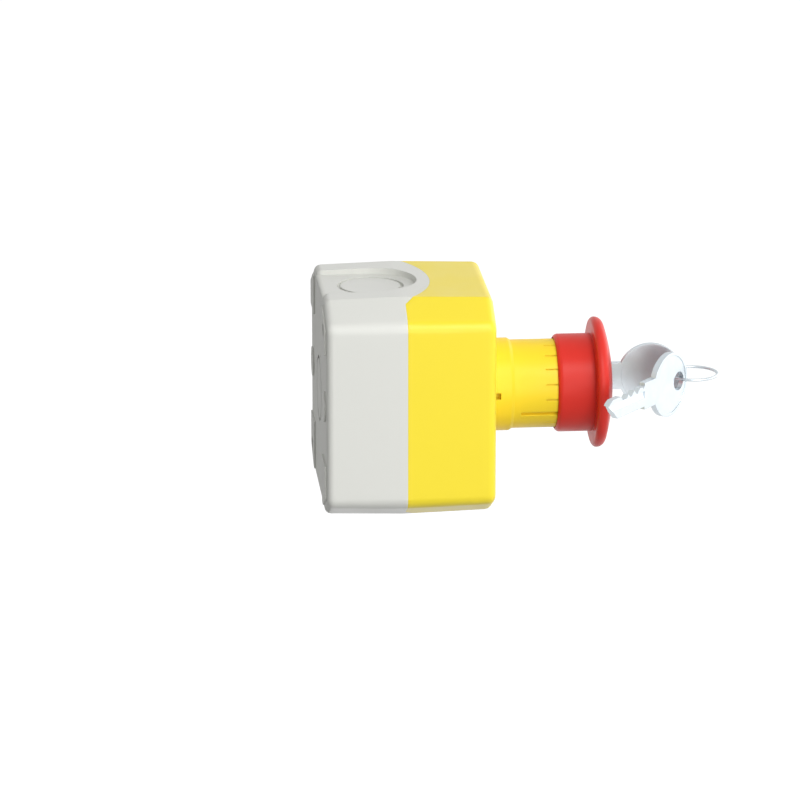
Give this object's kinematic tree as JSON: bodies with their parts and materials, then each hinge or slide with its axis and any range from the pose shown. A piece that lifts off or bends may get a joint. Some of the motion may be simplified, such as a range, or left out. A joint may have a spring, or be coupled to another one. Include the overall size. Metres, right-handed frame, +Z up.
{
  "type": "emergency stop push button",
  "caption": "Wall box with a grey base, a yellow lid and a red mushroom push button that latches when pressed and is released by a key; a spare key hangs on the key's wire ring.",
  "frame": {"origin": "the wall plane, where the button's axis meets it; midway between the wall fixing holes", "axes": "+X out of the wall along the button's axis, +Y across the box, +Z up; the picture looks along +Y from slightly above"},
  "size_m": [0.1232, 0.0743, 0.068],
  "materials": {
    "base_grey": "fine moulded grain",
    "lid_yellow": "fine moulded grain",
    "head_yellow": "satin moulded",
    "button_red": "semi-gloss moulded",
    "seal_rubber": "soft black",
    "block_plastic": "moulded",
    "pusher_white": "moulded",
    "plunger_green": "moulded",
    "nut_grey": "moulded",
    "screw_steel": "zinc plated",
    "spring_steel": "drawn wire",
    "lock_metal": "satin die-cast",
    "contact_brass": "stamped",
    "key_nickel": "nickel plated, tumbled"
  },
  "bodies": {
    "enclosure": {"base_housing": "base_grey", "lid_cover": "lid_yellow", "lid_seal": "seal_rubber", "lid_screws": "screw_steel", "head_bezel": "head_yellow", "head_gasket": "seal_rubber", "fixing_nut": "nut_grey", "wiper_seal": "seal_rubber", "nc_block_housing": "block_plastic", "no_block_housing": "block_plastic", "nc_fixed_contacts": "contact_brass", "no_fixed_contacts": "contact_brass", "terminal_screws": "screw_steel", "terminal_clamps": "screw_steel", "return_spring": "spring_steel", "nc_plunger_spring": "spring_steel", "no_plunger_spring": "spring_steel"},
    "mushroom": {"mushroom_cap": "button_red", "stem": "block_plastic", "pusher_plate": "pusher_white", "pusher_pin": "screw_steel", "lock_body": "lock_metal", "lock_clip": "screw_steel", "latch_spring": "spring_steel"},
    "left_pin": {"left_latch_pin": "screw_steel"},
    "right_pin": {"right_latch_pin": "screw_steel"},
    "plug": {"lock_plug": "lock_metal", "lock_tumblers": "contact_brass", "release_cam": "screw_steel"},
    "key": {"key": "key_nickel"},
    "ring": {"key_ring": "key_nickel"},
    "spare": {"spare_key": "key_nickel"},
    "nc_contact": {"nc_plunger": "plunger_green", "nc_bridge": "contact_brass"},
    "no_contact": {"no_plunger": "plunger_green", "no_bridge": "contact_brass"}
  },
  "joints": [
    {"name": "mushroom_push", "type": "slide", "parent": "enclosure", "child": "mushroom", "axis": [-1, 0, 0], "range_m": [0, 0.006], "stiffness_N_per_m": 2500, "springref_m": -0.006, "deforming": ["return_spring"]},
    {"name": "left_pin_slide", "type": "slide", "parent": "mushroom", "child": "left_pin", "axis": [0, -1, 0], "range_m": [0, 0.0009], "deforming": ["latch_spring"]},
    {"name": "right_pin_slide", "type": "slide", "parent": "mushroom", "child": "right_pin", "axis": [0, 1, 0], "range_m": [0, 0.0009]},
    {"name": "key_turn", "type": "hinge", "parent": "mushroom", "child": "plug", "pos_m": [0.0865, 0, 0], "axis": [-1, 0, 0], "range_deg": [0, 45]},
    {"name": "key_withdraw", "type": "slide", "parent": "plug", "child": "key", "axis": [1, 0, 0], "range_m": [0, 0.022]},
    {"name": "ring_swing", "type": "hinge", "parent": "key", "child": "ring", "pos_m": [0.1075, 0, 0.0019], "axis": [0, 1, 0], "range_deg": [-90, 90]},
    {"name": "spare_key_orbit", "type": "hinge", "parent": "ring", "child": "spare", "pos_m": [0.11514, 0, 0.0019], "axis": [0, 0, 1], "range_deg": [0, 240]},
    {"name": "nc_contact_slide", "type": "slide", "parent": "enclosure", "child": "nc_contact", "axis": [-1, 0, 0], "range_m": [0, 0.006], "deforming": ["nc_plunger_spring"]},
    {"name": "no_contact_slide", "type": "slide", "parent": "enclosure", "child": "no_contact", "axis": [-1, 0, 0], "range_m": [0, 0.006], "deforming": ["no_plunger_spring"]}
  ],
  "couplings": [
    {"joint": "left_pin_slide", "follows": "mushroom_push", "ratio": 0.15},
    {"joint": "right_pin_slide", "follows": "mushroom_push", "ratio": 0.15},
    {"joint": "nc_contact_slide", "follows": "mushroom_push", "ratio": 1},
    {"joint": "no_contact_slide", "follows": "mushroom_push", "ratio": 1}
  ]
}
